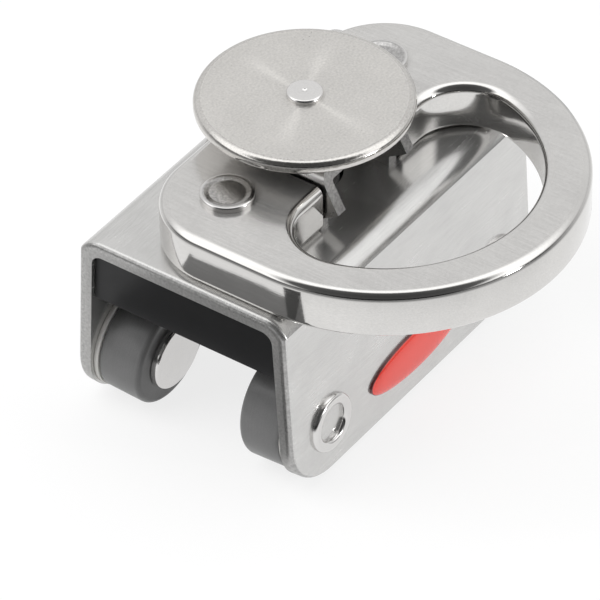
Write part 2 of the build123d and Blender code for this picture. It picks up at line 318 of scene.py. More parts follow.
def solid_piece(name, points, faces, body, material, stands_for, crease=25.0, marks=None):
    """A smooth closed piece from points in millimetres; edges sharper than the crease angle stay crisp.
    A mark is a number at every point that the material reads, such as how polished the surface is there."""
    mesh = bpy.data.meshes.new(name)
    mesh.from_pydata((np.asarray(points) * MM).tolist(), [], faces)
    for mark, values in (marks or {}).items():
        layer = mesh.attributes.new(mark, "FLOAT", "POINT")
        layer.data.foreach_set("value", np.asarray(values, np.float32))
    shell = bmesh.new()
    shell.from_mesh(mesh)
    bmesh.ops.remove_doubles(shell, verts=shell.verts, dist=1e-7)
    bmesh.ops.recalc_face_normals(shell, faces=shell.faces)
    shell.to_mesh(mesh)
    shell.free()
    mesh.polygons.foreach_set("use_smooth", np.ones(len(mesh.polygons), dtype=bool))
    mesh.set_sharp_from_angle(angle=np.radians(crease))
    mesh.materials.append(material)
    piece = bpy.data.objects.new(name, mesh)
    bpy.context.scene.collection.objects.link(piece)
    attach(piece, body)
    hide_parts(stands_for)
    return piece


def socket(group, name, way, kind, value=None):
    """One named input or output of a shared effect."""
    made = group.interface.new_socket(name, in_out=way, socket_type=kind)
    if value is not None:
        made.default_value = value


def noise(tree, place, scale, detail):
    """Even noise round 0.5, read at a point of the piece."""
    made = tree.nodes.new("ShaderNodeTexNoise")
    made.inputs["Scale"].default_value = scale
    made.inputs["Detail"].default_value = detail
    tree.links.new(place, made.inputs["Vector"])
    return made.outputs["Fac"]


def swing(tree, value, share):
    """Noise round 0.5 turned into a swing to both sides of zero, times a share."""
    return math_node(tree, "MULTIPLY", math_node(tree, "SUBTRACT", value, 0.5), share)


def scaled(tree, colour, factor):
    """A colour times a number."""
    made = tree.nodes.new("ShaderNodeVectorMath")
    made.operation = "SCALE"
    tree.links.new(colour, made.inputs[0])
    tree.links.new(factor, made.inputs["Scale"])
    return made.outputs["Vector"]


# Shared effect: metal grain. A stretched noise gives fine parallel lines and a broad noise gives the cloudy
# tone that handling and tumbling leave; both vary the colour, the roughness and a height for the bump.
grain = bpy.data.node_groups.new("metal_grain", "ShaderNodeTree")
socket(grain, "Colour", "INPUT", "NodeSocketColor", (0.7, 0.69, 0.68, 1))
socket(grain, "Roughness", "INPUT", "NodeSocketFloat", 0.3)
socket(grain, "Stretch", "INPUT", "NodeSocketVector", (400, 4000, 4000))
socket(grain, "Lines", "INPUT", "NodeSocketFloat", 0.1)
socket(grain, "Clouds", "INPUT", "NodeSocketFloat", 0.1)
socket(grain, "Pits", "INPUT", "NodeSocketFloat", 0.1)
socket(grain, "Colour", "OUTPUT", "NodeSocketColor")
socket(grain, "Roughness", "OUTPUT", "NodeSocketFloat")
socket(grain, "Height", "OUTPUT", "NodeSocketFloat")
cloud_scale, pit_scale = 160.0, 2600.0
pit_tone, tone_roughness = 0.6, 0.7
g_in = grain.nodes.new("NodeGroupInput")
g_out = grain.nodes.new("NodeGroupOutput")
g_place = grain.nodes.new("ShaderNodeTexCoord").outputs["Object"]
g_stretched = vector_node(grain, "MULTIPLY", g_place, g_in.outputs["Stretch"])
line_part = swing(grain, noise(grain, g_stretched, scale=1.0, detail=3.0), g_in.outputs["Lines"])
cloud_part = swing(grain, noise(grain, g_place, cloud_scale, detail=5.0), g_in.outputs["Clouds"])
pit_part = swing(grain, noise(grain, g_place, pit_scale, detail=2.0), g_in.outputs["Pits"])
g_tone = math_node(
    grain, "ADD",
    math_node(grain, "ADD", line_part, cloud_part),
    math_node(grain, "MULTIPLY", pit_part, pit_tone),
)
g_rough = math_node(grain, "MULTIPLY_ADD", g_tone, tone_roughness, g_in.outputs["Roughness"])
g_colour = scaled(grain, g_in.outputs["Colour"], math_node(grain, "ADD", g_tone, 1.0))
grain.links.new(g_colour, g_out.inputs["Colour"])
grain.links.new(g_rough, g_out.inputs["Roughness"])
grain.links.new(math_node(grain, "ADD", line_part, pit_part), g_out.inputs["Height"])


def patterned(name, base, metallic, roughness, effect, bump, shares):
    """A material whose colour, roughness and relief vary by a shared effect, with its own values for it."""
    material = bpy.data.materials.new(name)
    material.use_nodes = True
    tree = material.node_tree
    shader = tree.nodes["Principled BSDF"]
    shader.inputs["Base Color"].default_value = (*base, 1)
    shader.inputs["Metallic"].default_value = metallic
    shader.inputs["Roughness"].default_value = roughness
    placed = tree.nodes.new("ShaderNodeGroup")
    placed.node_tree = effect
    placed.inputs["Colour"].default_value = (*base, 1)
    placed.inputs["Roughness"].default_value = roughness
    for share, value in shares.items():
        placed.inputs[share].default_value = value
    relief = tree.nodes.new("ShaderNodeBump")
    relief.inputs["Strength"].default_value = bump
    relief.inputs["Distance"].default_value = 0.05 * MM
    tree.links.new(placed.outputs["Colour"], shader.inputs["Base Color"])
    tree.links.new(placed.outputs["Roughness"], shader.inputs["Roughness"])
    tree.links.new(placed.outputs["Height"], relief.inputs["Height"])
    tree.links.new(relief.outputs["Normal"], shader.inputs["Normal"])
    return material


def metal(name, base, roughness, stretch, lines, clouds, pits, bump):
    """Steel with its own colour, polish and grain direction."""
    shares = {"Stretch": stretch, "Lines": lines, "Clouds": clouds, "Pits": pits}
    return patterned(name, base, 1.0, roughness, grain, bump, shares)


def fold_table():
    """Outside and inside of the fold for half the section: flat roof, bend, then the leaning leg."""
    outer_y = leg_at(roof_top - bend_outside) + (grind - bend_outside) / np.cos(lean)
    inner_y = leg_at(roof_under - bend_inside) - (sheet + bend_inside) / np.cos(lean)
    crease = np.degrees(lean + np.arccos((bend_outside - grind) / bend_outside))
    steps = 17
    outside = arc((outer_y, roof_top - bend_outside), bend_outside, 90, crease, steps)
    inside = arc((inner_y, roof_under - bend_inside), bend_inside, 90, np.degrees(lean), steps)
    outside = np.vstack([(0, roof_top), outside, (leg_at(leg_bottom), leg_bottom)])
    inside = np.vstack([(0, roof_under), inside, (leg_at(leg_bottom, sheet), leg_bottom)])
    length = np.concatenate([[0], np.cumsum(np.hypot(*np.diff(outside, axis=0).T))])
    return length, outside, inside


fold_length, fold_outside, fold_inside = fold_table()
half_girth = fold_length[-1]


def folded(girth, along, depth):
    """Point of the sheet: a distance round the fold, a place along the body and a depth below the skin."""
    share = np.clip(depth / sheet, 0, 1)
    reach = np.abs(girth)
    y, z = (
        np.interp(reach, fold_length, fold_outside[:, k]) * (1 - share)
        + np.interp(reach, fold_length, fold_inside[:, k]) * share
        for k in (0, 1)
    )
    return np.stack([along + 0 * y, np.sign(girth) * y, z], axis=-1)


# The two skins are one grid each, which narrows round the legs' lower corners.
corner_start = half_girth - leg_corner
skin_corner = leg_corner - sheet_round
corner_sweep = np.linspace(0, np.pi / 2, 15)
half_rows = np.concatenate([
    np.linspace(0, fold_length[1], 4)[:-1],
    fold_length[1:-1],
    np.linspace(fold_length[-2], corner_start, 6)[1:-1],
    corner_start + skin_corner * np.sin(corner_sweep),
])
girths = np.concatenate([-half_rows[:0:-1], half_rows])
past = np.clip(np.abs(girths) - corner_start, 0, skin_corner)
reaches = half_length - leg_corner + np.sqrt(skin_corner**2 - past**2)
across = np.linspace(-1, 1, 13)
sheet_rows = len(girths)
sheet_columns = len(across)
skin_girth = np.repeat(girths[:, None], sheet_columns, axis=1)
skin_along = reaches[:, None] * across[None, :]
outer_skin = folded(skin_girth, skin_along, 0 * skin_along).reshape(-1, 3)
inner_skin = folded(skin_girth, skin_along, 0 * skin_along + sheet).reshape(-1, 3)

# The sheet's edge goes round the skins' rim in rings: a rounded outer half, a torn band, and a small burr.
number = np.arange(sheet_rows * sheet_columns).reshape(sheet_rows, sheet_columns)
rim = np.concatenate([number[0, :-1], number[:-1, -1], number[-1, :0:-1], number[:0:-1, 0]])
rim_girth = skin_girth.reshape(-1)[rim]
rim_along = skin_along.reshape(-1)[rim]
out_girth = np.sign(rim_girth) * np.clip(np.abs(rim_girth) - corner_start, 0, None)
out_along = np.sign(rim_along) * np.clip(np.abs(rim_along) - (half_length - leg_corner), 0, None)
out_along = np.where(np.abs(out_girth) > 0, out_along, np.sign(rim_along) * skin_corner)
on_foot = np.abs(np.abs(rim_girth) - half_girth + sheet_round) < 1e-6
out_girth = out_girth / skin_corner
out_along = np.where(on_foot, 0, out_along / skin_corner)
edge_turn = np.linspace(0, np.pi / 2, 8)[1:]
rim_steps = [(sheet_round * np.sin(t), sheet_round * (1 - np.cos(t))) for t in edge_turn]
rim_steps += [
    (sheet_round, smooth_band), (sheet_round, torn_start), (sheet_round, sheet),
    (sheet_round - burr, sheet), (0.0, sheet),
]
rim_points = [
    folded(rim_girth + out * out_girth, rim_along + out * out_along, 0 * rim_girth + depth)
    for out, depth in rim_steps
]
skin_count = len(outer_skin)
body_points = np.vstack([outer_skin, inner_skin] + rim_points)
body_faces = grid_faces(sheet_rows, sheet_columns) + grid_faces(sheet_rows, sheet_columns, start=skin_count)
first_ring = 2 * skin_count
rim_count = len(rim)
ring_place = np.arange(rim_count)
ring_next = (ring_place + 1) % rim_count
last_ring = first_ring + (len(rim_steps) - 1) * rim_count
body_faces += np.stack([rim, rim[ring_next], first_ring + ring_next, first_ring + ring_place], axis=1).tolist()
body_faces += grid_faces(len(rim_steps), rim_count, closed=True, start=first_ring)
body_faces += np.stack(
    [last_ring + ring_place, last_ring + ring_next, skin_count + rim[ring_next], skin_count + rim], axis=1
).tolist()

# The spring's hole is cut from the middle of the roof: a square patch goes, and faces fan in to a circle.
hole_radius = 6.0
hole_turns = 64
middle_row, middle_column = sheet_rows // 2, sheet_columns // 2
patch = number[middle_row - 2:middle_row + 3, middle_column - 2:middle_column + 3]
patch_loop = np.concatenate([patch[0, :-1], patch[:-1, -1], patch[-1, :0:-1], patch[:0:-1, 0]])
in_patch = set(patch.ravel().tolist())
body_faces = [
    face for face in body_faces
    if not (set(face) <= in_patch or {corner - skin_count for corner in face} <= in_patch)
]
hole_angle = np.linspace(0, 2 * np.pi, hole_turns, endpoint=False)
hole_loop = hole_radius * np.stack([np.cos(hole_angle), np.sin(hole_angle), 0 * hole_angle], axis=1)
hole_top = len(body_points)
hole_under = hole_top + hole_turns
body_points = np.vstack([body_points, hole_loop + (0, 0, roof_top), hole_loop + (0, 0, roof_under)])
loop_angle = np.arctan2(body_points[patch_loop, 1], body_points[patch_loop, 0]) % (2 * np.pi)
nearest = np.round(loop_angle / (2 * np.pi) * hole_turns).astype(int) % hole_turns
for here, there in zip(range(len(patch_loop)), np.roll(range(len(patch_loop)), -1)):
    way = 1 if (nearest[there] - nearest[here]) % hole_turns < hole_turns / 2 else -1
    steps_round = way * np.arange(way * (nearest[there] - nearest[here]) % hole_turns + 1)
    rounding = ((nearest[here] + steps_round) % hole_turns)[::-1].tolist()
    for skin, circle in ((0, hole_top), (skin_count, hole_under)):
        body_faces.append([patch_loop[here] + skin, patch_loop[there] + skin] + [circle + i for i in rounding])
body_faces += [
    [hole_top + i, hole_top + (i + 1) % hole_turns, hole_under + (i + 1) % hole_turns, hole_under + i]
    for i in range(hole_turns)
]

torn = np.zeros(len(body_points))
sheared_and_shaded = np.zeros(len(body_points))
for row, (out, depth) in enumerate(rim_steps):
    band = slice(first_ring + row * rim_count, first_ring + (row + 1) * rim_count)
    torn[band] = float(out == sheet_round and depth >= torn_start)
    sheared_and_shaded[band] = float(out > 0.6 * sheet_round and depth < torn_start)


def marked(material, mark, rougher, darker, bumpier, cut_along=None, duller=0.0):
    """Where the mark is one, the surface is rougher, darker and coarser than the rest of the material.
    With no mark, that is wherever the surface faces along the cut_along direction, as a sheared edge does.
    A duller share scatters light instead of reflecting it, as ground metal does."""
    tree = material.node_tree
    shader = tree.nodes["Principled BSDF"]
    relief = shader.inputs["Normal"].links[0].from_node
    colour, roughness, height = (
        target.links[0].from_socket
        for target in (shader.inputs["Base Color"], shader.inputs["Roughness"], relief.inputs["Height"])
    )
    if cut_along:
        squarely = 0.7
        facing = tree.nodes.new("ShaderNodeTexCoord").outputs["Normal"]
        along = vector_node(tree, "DOT_PRODUCT", facing, cut_along, result="Value")
        area = math_node(tree, "GREATER_THAN", math_node(tree, "ABSOLUTE", along), squarely)
    else:
        where = tree.nodes.new("ShaderNodeAttribute")
        where.attribute_name = mark
        area = where.outputs["Fac"]
    if duller:
        shine = math_node(tree, "SUBTRACT", 1.0, math_node(tree, "MULTIPLY", area, duller))
        tree.links.new(shine, shader.inputs["Metallic"])
    grit = noise(tree, tree.nodes.new("ShaderNodeTexCoord").outputs["Object"], scale=2200, detail=4)
    loss = math_node(tree, "MULTIPLY", math_node(tree, "MULTIPLY", grit, darker * 2), area)
    left = math_node(tree, "SUBTRACT", 1.0, loss)
    left.node.use_clamp = True
    tree.links.new(scaled(tree, colour, left), shader.inputs["Base Color"])
    tree.links.new(math_node(tree, "MULTIPLY_ADD", area, rougher, roughness), shader.inputs["Roughness"])
    tree.links.new(math_node(tree, "MULTIPLY_ADD", loss, bumpier, height), relief.inputs["Height"])


folded_steel = metal(
    "folded_steel", (0.64, 0.635, 0.625), roughness=0.23,
    stretch=(250, 5000, 5000), lines=0.22, clouds=0.20, pits=0.12, bump=0.22,
)
folded_steel.node_tree.nodes["Principled BSDF"].inputs["Metallic"].default_value = 0.84
marked(folded_steel, "torn", rougher=0.3, darker=0.26, bumpier=2.5)
# The smooth sheared band is rougher, and darker in colour: painted shade along the edge.
marked(folded_steel, "sheared_and_shaded", rougher=0.08, darker=0.36, bumpier=1.6)
solid_piece(
    "folded_body", body_points, body_faces, "chassis", folded_steel, "channel_body",
    crease=20.0, marks={"torn": torn, "sheared_and_shaded": sheared_and_shaded},
)

# Eye plate: a thick plate cut to a D-shaped eye with two ears, its flat faces belt-ground and its edges
# rounded and polished bright. It is riveted to the roof through the ears.
plate_thickness = 8.7
plate_top = roof_top + plate_thickness
ring_y = -15.2
ring_outside = 32.5
ring_inside = 25.0
ear_y = 11.3
ear_round = 13.3
shoulder_y = -11.1
shoulder_round = 8.6
notch_half = 11.0
notch_round = 1
plate_round = 1.5
polished_rim = 0.25


def plate_outline():
    """Closed outline of the plate with its outward directions: arcs joined by straight runs."""
    shoulder_centre_y = shoulder_y - shoulder_round
    dip = ring_y - shoulder_centre_y
    eye_x = np.sqrt((ring_inside - shoulder_round) ** 2 - dip**2)
    meet = np.degrees(np.arcsin(-dip / (ring_inside - shoulder_round)))
    pieces = [
        ((0, ring_y), ring_outside, 180, 360, 120, 1),
        ((ring_outside - ear_round, ear_y - ear_round), ear_round, 0, 90, 28, 1),
        ((notch_half, ear_y - notch_round), notch_round, 90, 90, 1, 1),
        ((notch_half, shoulder_y + notch_round), notch_round, 270, 270, 1, 1),
        ((eye_x, shoulder_centre_y), shoulder_round, 90, meet, 28, -1),
        ((0, ring_y), ring_inside, meet, -180 - meet, 110, -1),
        ((-eye_x, shoulder_centre_y), shoulder_round, 180 - meet, 90, 28, -1),
        ((-notch_half, shoulder_y + notch_round), notch_round, 270, 270, 1, 1),
        ((-notch_half, ear_y - notch_round), notch_round, 90, 90, 1, 1),
        ((-ring_outside + ear_round, ear_y - ear_round), ear_round, 90, 180, 28, 1),
    ]
    points, outs = [], []
    for centre, radius, start, end, count, side in pieces:
        run = arc(centre, radius, start, end, count)
        points.append(run)
        outs.append(side * (run - centre) / radius)
    return np.vstack(points), np.vstack(outs)


def edge_rows(rounding, thickness, steps=9):
    """Inset and depth of rows round a plate's edge: a quarter round, the wall, and a quarter round again."""
    t = np.linspace(0, np.pi / 2, steps)
    inset = np.concatenate([[rounding + polished_rim], rounding * (1 - np.sin(t))])
    depth = np.concatenate([[0], rounding * (1 - np.cos(t))])
    return np.concatenate([inset, inset[::-1]]), np.concatenate([depth, thickness - depth[::-1]])


outline, outward = plate_outline()
insets, depths = edge_rows(plate_round, plate_thickness)
rows, columns = len(insets), len(outline)
plate_points = np.concatenate([
    outline[None] - insets[:, None, None] * outward[None],
    np.broadcast_to(plate_top - depths[:, None, None], (rows, columns, 1)),
], axis=2)
plate_faces = grid_faces(rows, columns, closed=True)
plate_faces.append(list(range(columns))[::-1])
plate_faces.append([(rows - 1) * columns + i for i in range(columns)])
flat_share = np.zeros((rows, columns))
flat_share[[0, 1, -2, -1]] = 1.0
plate_steel = metal(
    "plate_steel", (0.685, 0.675, 0.66), roughness=0.085,
    stretch=(5000, 200, 5000), lines=0.24, clouds=0.16, pits=0.06, bump=0.22,
)
marked(plate_steel, "flat_share", rougher=0.12, darker=0.09, bumpier=0.4, duller=0.24)
solid_piece(
    "eye_plate", plate_points.reshape(-1, 3), plate_faces, "chassis", plate_steel, "ring_plate",
    marks={"flat_share": flat_share.reshape(-1)},
)

# Knob disc: a turned stainless disc with a bright rim, faced on the lathe and then lightly tumbled. The pin's
# neck goes through its middle and is peened over it.
disc_bottom = 25.9
disc_top = 28.1
disc_radius = 17.6
bright_rim = 1.25
neck_radius = 2.5
flat_margin = 1.2
dish_depth = 0.4


def rounded_profile(corners, steps=7):
    """Turned outline from corners (radius, height, rounding): each rounding is an arc that meets both runs."""
    corners = np.array(corners, float)
    points = [corners[0, :2]]
    for before, corner, after in zip(corners[:-2], corners[1:-1], corners[2:]):
        rounding = corner[2]
        if rounding == 0:
            points.append(corner[:2])
            continue
        a = (before[:2] - corner[:2]) / np.linalg.norm(before[:2] - corner[:2])
        b = (after[:2] - corner[:2]) / np.linalg.norm(after[:2] - corner[:2])
        half = np.arccos(np.clip(a @ b, -1, 1)) / 2
        centre = corner[:2] + (a + b) / np.linalg.norm(a + b) * rounding / np.sin(half)
        first = corner[:2] + a * rounding / np.tan(half) - centre
        last = corner[:2] + b * rounding / np.tan(half) - centre
        bend = np.arctan2(first[0] * last[1] - first[1] * last[0], first @ last)
        angle = np.arctan2(first[1], first[0]) + np.linspace(0, bend, steps)
        points.extend(centre + rounding * np.stack([np.cos(angle), np.sin(angle)], axis=1))
    points.append(corners[-1, :2])
    return np.array(points)


def turned(
    name, profile, body, slot, material, stands_for,
    centre=(0, 0, 0), axis=(0, 0, 1), around=96, dish=0.0,
):
    """A profile (radius, height) carried once round an axis. Its marks give each point's radius and rise, and
    whether it lies on the flat end or in the pressed dish of that radius in the end."""
    axis = np.array(axis, float)
    side = np.array((1.0, 0, 0))
    angle = np.linspace(0, 2 * np.pi, around, endpoint=False)
    radial = np.cos(angle)[:, None] * side + np.sin(angle)[:, None] * np.cross(axis, side)
    radius, rise = profile.T
    points = np.array(centre, float) + radius[:, None, None] * radial[None] + rise[:, None, None] * axis
    on_flat = (rise > rise.max() - 0.01) & (radius < radius.max() - flat_margin)
    in_dish = (rise > rise.max() - dish_depth) & (radius < dish)
    marks = {"radius": radius, "rise": rise, "flat_share": on_flat, "dish": in_dish}
    return solid_piece(
        name, points.reshape(-1, 3), grid_faces(len(profile), around, closed=True), body, material,
        stands_for, marks={mark: np.repeat(values, around) for mark, values in marks.items()},
    )


# Shared effect: lathe marks and painted sheen. A tool that faces or turns a piece leaves fine rings round its
# axis.
# The faint rays from the centre are painted sheen: the light that such rings catch, drawn into the colour.
lathe = bpy.data.node_groups.new("lathe_marks_and_sheen", "ShaderNodeTree")
socket(lathe, "Radius", "INPUT", "NodeSocketFloat", 0.0)
socket(lathe, "Rise", "INPUT", "NodeSocketFloat", 0.0)
socket(lathe, "Rings", "INPUT", "NodeSocketFloat", 0.05)
socket(lathe, "Painted Sheen", "INPUT", "NodeSocketFloat", 0.0)
socket(lathe, "Tone", "OUTPUT", "NodeSocketFloat")
sheen_shapes = ((80.0, 160.0), (20.0, 110.0))
sheen_end, sheen_full = 15.0, 8.0
rings_per_mm, rise_share = 6.0, 1.37
l_in = lathe.nodes.new("NodeGroupInput")
l_out = lathe.nodes.new("NodeGroupOutput")
l_rings = lathe.nodes.new("ShaderNodeTexNoise")
l_rings.noise_dimensions = "1D"
l_rings.inputs["Scale"].default_value = rings_per_mm
l_rings.inputs["Detail"].default_value = 3.0
rise_part = math_node(lathe, "MULTIPLY", l_in.outputs["Rise"], rise_share)
lathe.links.new(math_node(lathe, "ADD", l_in.outputs["Radius"], rise_part), l_rings.inputs["W"])
l_place = lathe.nodes.new("ShaderNodeTexCoord").outputs["Object"]
l_way = vector_node(lathe, "NORMALIZE", vector_node(lathe, "MULTIPLY", l_place, (1, 1, 0)))
sheen_rays = []
for sheen_angle, sheen_power in sheen_shapes:
    sheen_way = (np.cos(np.radians(sheen_angle)), np.sin(np.radians(sheen_angle)), 0)
    towards = vector_node(lathe, "DOT_PRODUCT", l_way, sheen_way, result="Value")
    sheen_rays.append(math_node(lathe, "POWER", math_node(lathe, "ABSOLUTE", towards), sheen_power))
sheen_fade = ranged(lathe, l_in.outputs["Radius"], sheen_end, sheen_full)
sheen_sum = math_node(lathe, "MULTIPLY", math_node(lathe, "ADD", *sheen_rays), sheen_fade)
ring_part = swing(lathe, l_rings.outputs["Fac"], l_in.outputs["Rings"])
sheen_part = math_node(lathe, "MULTIPLY", sheen_sum, l_in.outputs["Painted Sheen"])
lathe.links.new(math_node(lathe, "ADD", ring_part, sheen_part), l_out.inputs["Tone"])


def on_the_lathe(material, rings, sheen_rays=0.0):
    """Adds lathe rings, and rays of painted sheen where asked, to a material whose piece carries its own
    radius and rise.
    """
    tree = material.node_tree
    shader = tree.nodes["Principled BSDF"]
    relief = shader.inputs["Normal"].links[0].from_node
    marks = tree.nodes.new("ShaderNodeGroup")
    marks.node_tree = lathe
    marks.inputs["Rings"].default_value = rings
    marks.inputs["Painted Sheen"].default_value = sheen_rays
    for mark in ("Radius", "Rise"):
        where = tree.nodes.new("ShaderNodeAttribute")
        where.attribute_name = mark.lower()
        tree.links.new(where.outputs["Fac"], marks.inputs[mark])
    tone = marks.outputs["Tone"]
    colour = shader.inputs["Base Color"].links[0].from_socket
    height = relief.inputs["Height"].links[0].from_socket
    tree.links.new(scaled(tree, colour, math_node(tree, "ADD", tone, 1.0)), shader.inputs["Base Color"])
    tree.links.new(math_node(tree, "ADD", height, tone), relief.inputs["Height"])


disc_steel = metal(
    "disc_steel", (0.64, 0.624, 0.60), roughness=0.15,
    stretch=(2600, 2600, 2600), lines=0.30, clouds=0.16, pits=0.30, bump=0.5,
)
marked(disc_steel, "flat_share", rougher=0.22, darker=0.05, bumpier=0.4, duller=0.28)
# The rays here are painted sheen: a faint bright X drawn into the disc's colour.
on_the_lathe(disc_steel, rings=0.05, sheen_rays=0.15)
disc_profile = rounded_profile([
    (neck_radius, disc_bottom, 0),
    (disc_radius, disc_bottom, 0.7),
    (disc_radius, disc_top, 1.1),
    (disc_radius - bright_rim, disc_top, 0),
    (neck_radius, disc_top, 0),
    (neck_radius, disc_bottom, 0),
])
turned("lifting_disc", disc_profile, "plunger", "disc_steel", disc_steel, "knob_disc", around=160)

# Plunger: the locking pin, its upper end peened over the disc and punched in the centre.
pin_radius = 4.0
nose_radius = 3.8
nose_top, nose_tip = -0.5, -6.5
nose_chamfer = 1.0
groove_radius = 3.2
groove_bottom, groove_top = 1.35, 2.2
peen_radius = 2.95
peen_top = disc_top + 0.8
pin_steel = metal(
    "pin_steel", (0.78, 0.77, 0.76), roughness=0.2,
    stretch=(900, 900, 900), lines=0.05, clouds=0.08, pits=0.06, bump=0.3,
)
on_the_lathe(pin_steel, rings=0.08)
pin_profile = rounded_profile([
    (0, nose_tip, 0),
    (nose_radius - nose_chamfer, nose_tip, 0.3),
    (nose_radius, nose_tip + nose_chamfer, 0.3),
    (nose_radius, nose_top, 0),
    (pin_radius, nose_top, 0),
    (pin_radius, groove_bottom, 0),
    (groove_radius, groove_bottom, 0),
    (groove_radius, groove_top, 0),
    (pin_radius, groove_top, 0),
    (pin_radius, disc_bottom, 0),
    (neck_radius, disc_bottom, 0),
    (neck_radius, disc_top, 0),
    (peen_radius, disc_top, 0),
    (peen_radius, peen_top, 0.4),
    (0.5, peen_top, 0.1),
    (0.0, peen_top - 0.35, 0),
])
turned("plunger", pin_profile, "plunger", "pin_steel", pin_steel, "plunger_pin")

# Eye-plate rivets: bright stainless rivets, their heads pressed to a shallow dish and their lower ends
# spread in a countersink under the roof.
ring_rivet_x = 20.8
shank_radius = 2.5
head_radius = 4.4
head_top = plate_top + 1.0
dish_rim, dish_foot = 3.7, 2.9
sink_bottom, sink_top = 0.5, 2.4
rivet_steel = metal(
    "rivet_steel", (0.70, 0.69, 0.68), roughness=0.13,
    stretch=(900, 900, 900), lines=0.04, clouds=0.12, pits=0.08, bump=0.3,
)
on_the_lathe(rivet_steel, rings=0.10)
# The dish is darker in colour: painted dark reflection of the disc's underside above it.
marked(rivet_steel, "dish", rougher=0.05, darker=0.34, bumpier=0.6)
rivet_profile = rounded_profile([
    (0, sink_bottom, 0),
    (head_radius, sink_bottom, 0),
    (shank_radius, sink_top, 0),
    (shank_radius, plate_top, 0),
    (head_radius, plate_top, 0),
    (head_radius, head_top, 0.3),
    (dish_rim, head_top, 0.3),
    (dish_foot, head_top - 0.25, 1.2),
    (0, head_top - 0.35, 0),
])
for rivet_name, rivet_x in (("ring_rivet_front", -ring_rivet_x), ("ring_rivet_rear", ring_rivet_x)):
    turned(
        rivet_name + "_dished", rivet_profile, "chassis", "rivet_steel", rivet_steel, rivet_name,
        centre=(rivet_x, 0, 0), dish=4.0,
    )

# Rollers: dark acetal wheels on hollow rivets through the legs, each with a pale washer against the leg.
# Heights in their outlines run along the axle, outwards from the skin of the leg.
axle_x = 23.5
axle_z = -12.7
axle_radius = 4.0
axle_head_radius = 6.0
axle_tip, axle_shoulder = -12.6, -11.4
flange_radius, flange_thickness = 5.1, 0.9
recess_radius = 3.2
roller_radius, roller_bore = 9.2, 4.06
roller_inner, roller_outer = -11.25, -3.45
washer_radius, washer_bore = 9.35, 4.15
washer_inner = -3.3

# Shared effect: moulded plastic. A fine, even grain left by the mould, with a little wear in the gloss.
moulded = bpy.data.node_groups.new("moulded_grain", "ShaderNodeTree")
socket(moulded, "Colour", "INPUT", "NodeSocketColor", (0.1, 0.1, 0.1, 1))
socket(moulded, "Roughness", "INPUT", "NodeSocketFloat", 0.4)
socket(moulded, "Grain", "INPUT", "NodeSocketFloat", 0.1)
socket(moulded, "Wear", "INPUT", "NodeSocketFloat", 0.1)
socket(moulded, "Colour", "OUTPUT", "NodeSocketColor")
socket(moulded, "Roughness", "OUTPUT", "NodeSocketFloat")
socket(moulded, "Height", "OUTPUT", "NodeSocketFloat")
speck_scale, wear_scale = 5200.0, 260.0
m_in = moulded.nodes.new("NodeGroupInput")
m_out = moulded.nodes.new("NodeGroupOutput")
m_place = moulded.nodes.new("ShaderNodeTexCoord").outputs["Object"]
m_speck = swing(moulded, noise(moulded, m_place, speck_scale, detail=2.0), m_in.outputs["Grain"])
m_worn = swing(moulded, noise(moulded, m_place, wear_scale, detail=5.0), m_in.outputs["Wear"])
m_both = math_node(moulded, "ADD", m_speck, m_worn)
m_colour = scaled(moulded, m_in.outputs["Colour"], math_node(moulded, "ADD", m_both, 1.0))
moulded.links.new(m_colour, m_out.inputs["Colour"])
moulded.links.new(math_node(moulded, "ADD", m_in.outputs["Roughness"], m_worn), m_out.inputs["Roughness"])
moulded.links.new(m_both, m_out.inputs["Height"])


def plastic(name, base, roughness, grain_share, wear_share, bump):
    """Moulded or machined plastic with its own colour, gloss and grain."""
    return patterned(name, base, 0.0, roughness, moulded, bump, {"Grain": grain_share, "Wear": wear_share})


roller_plastic = plastic(
    "roller_acetal", (0.145, 0.145, 0.145), roughness=0.34, grain_share=0.30, wear_share=0.35, bump=0.2
)
on_the_lathe(roller_plastic, rings=0.35)
washer_plastic = plastic(
    "washer_plastic", (0.74, 0.73, 0.70), roughness=0.45, grain_share=0.05, wear_share=0.08, bump=0.1
)
on_the_lathe(washer_plastic, rings=0.06)
axle_profile = rounded_profile([
    (0, axle_tip, 0),
    (axle_head_radius, axle_tip, 0.4),
    (axle_head_radius, axle_shoulder, 0),
    (axle_radius, axle_shoulder, 0),
    (axle_radius, 0, 0),
    (flange_radius, 0, 0),
    (flange_radius, flange_thickness, 0.75),
    (recess_radius, flange_thickness, 0.75),
    (recess_radius - 0.1, -0.5, 0.2),
    (0, -0.55, 0),
])
roller_profile = rounded_profile([
    (roller_bore, roller_inner, 0),
    (roller_radius, roller_inner, 0.9),
    (roller_radius, roller_outer, 0.4),
    (roller_bore, roller_outer, 0),
    (roller_bore, roller_inner, 0),
])
washer_profile = rounded_profile([
    (washer_bore, washer_inner, 0),
    (washer_radius, washer_inner, 0.15),
    (washer_radius, -sheet, 0.15),
    (washer_bore, -sheet, 0),
    (washer_bore, washer_inner, 0),
])
for corner, corner_x, side in (
    ("front_near", -axle_x, -1),
    ("front_far", -axle_x, 1),
    ("rear_near", axle_x, -1),
    ("rear_far", axle_x, 1),
):
    axle = {
        "centre": (corner_x, side * leg_at(axle_z), axle_z),
        "axis": (0, side * np.cos(lean), np.sin(lean)),
    }
    turned(
        f"hollow_rivet_{corner}", axle_profile, "chassis", "rivet_steel", rivet_steel,
        f"axle_rivet_{corner}", **axle,
    )
    turned(
        f"wheel_{corner}", roller_profile, f"roller_{corner}", "roller_acetal", roller_plastic,
        f"roller_{corner}", **axle,
    )
    turned(
        f"washer_{corner}", washer_profile, "chassis", "washer_plastic", washer_plastic,
        f"thrust_washer_{corner}", **axle,
    )
